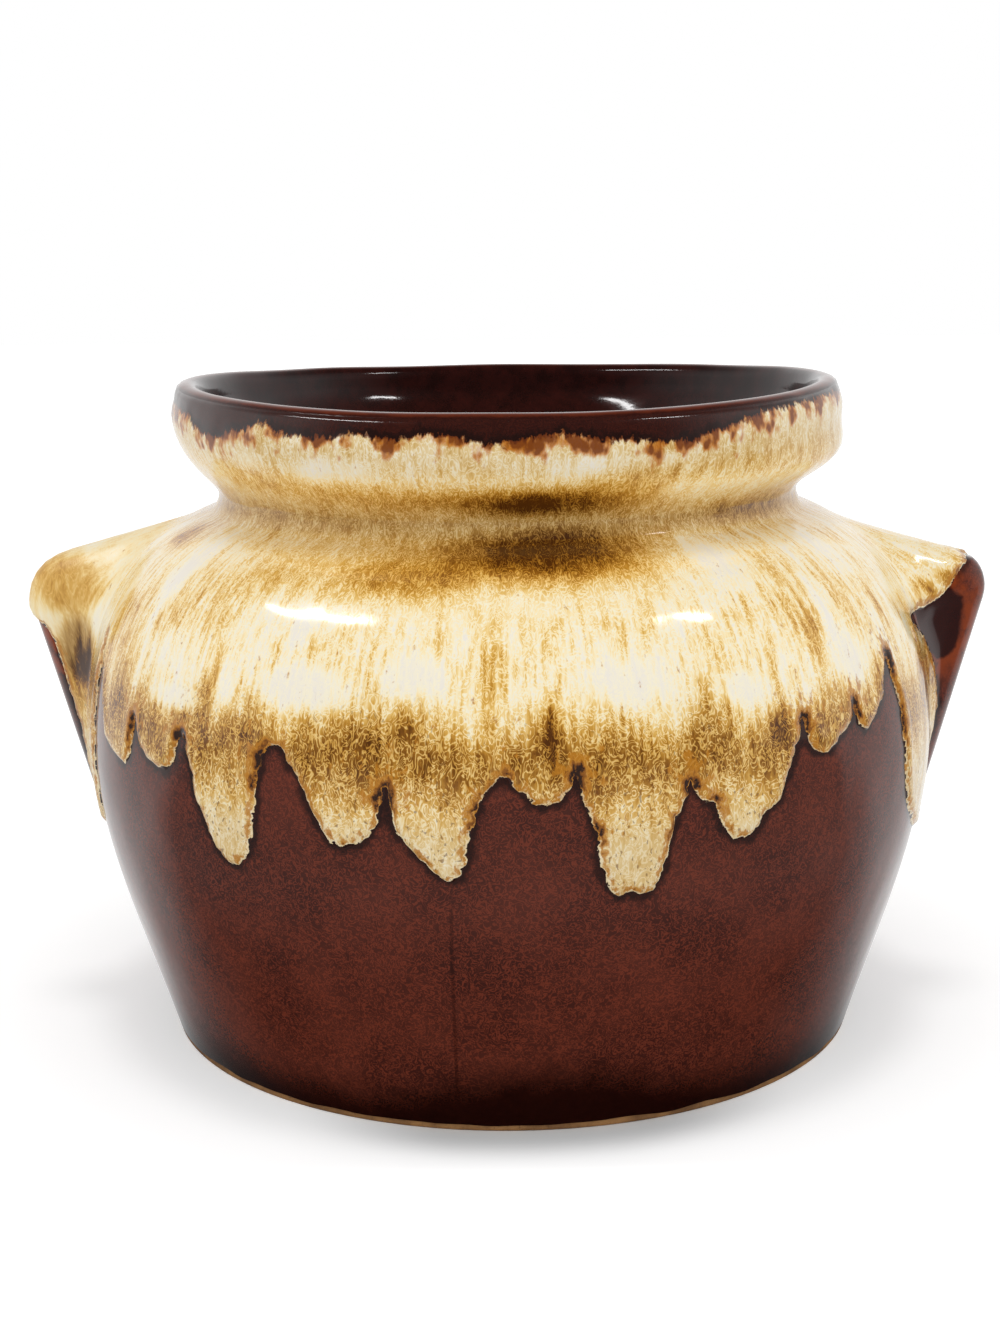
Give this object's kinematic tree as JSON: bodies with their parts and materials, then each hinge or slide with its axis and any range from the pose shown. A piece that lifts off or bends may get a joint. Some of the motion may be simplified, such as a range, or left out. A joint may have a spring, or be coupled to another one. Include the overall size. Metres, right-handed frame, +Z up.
{
  "type": "bean pot",
  "caption": "Squat round stoneware pot with a rolled collar, a wide mouth, lug ears at its sides, a bare clay foot and a cream glaze that drips over brown.",
  "frame": {"origin": "the pot's axis on the plane that the foot stands on", "axes": "+X along the line of the ears, +Z up the pot's axis, -Y towards the side that the picture shows"},
  "size_m": [0.2316, 0.2027, 0.1521],
  "materials": {
    "brown_glaze": "glossy reddish-brown glaze over stoneware",
    "bare_clay": "unglazed tan stoneware, wiped clean",
    "cream_glaze": "glossy cream and amber drip glaze"
  },
  "bodies": {
    "root": {"vessel": "brown_glaze", "foot_ring": "bare_clay", "left_ear": "brown_glaze", "right_ear": "brown_glaze", "cream_glaze": "cream_glaze"}
  },
  "joints": []
}
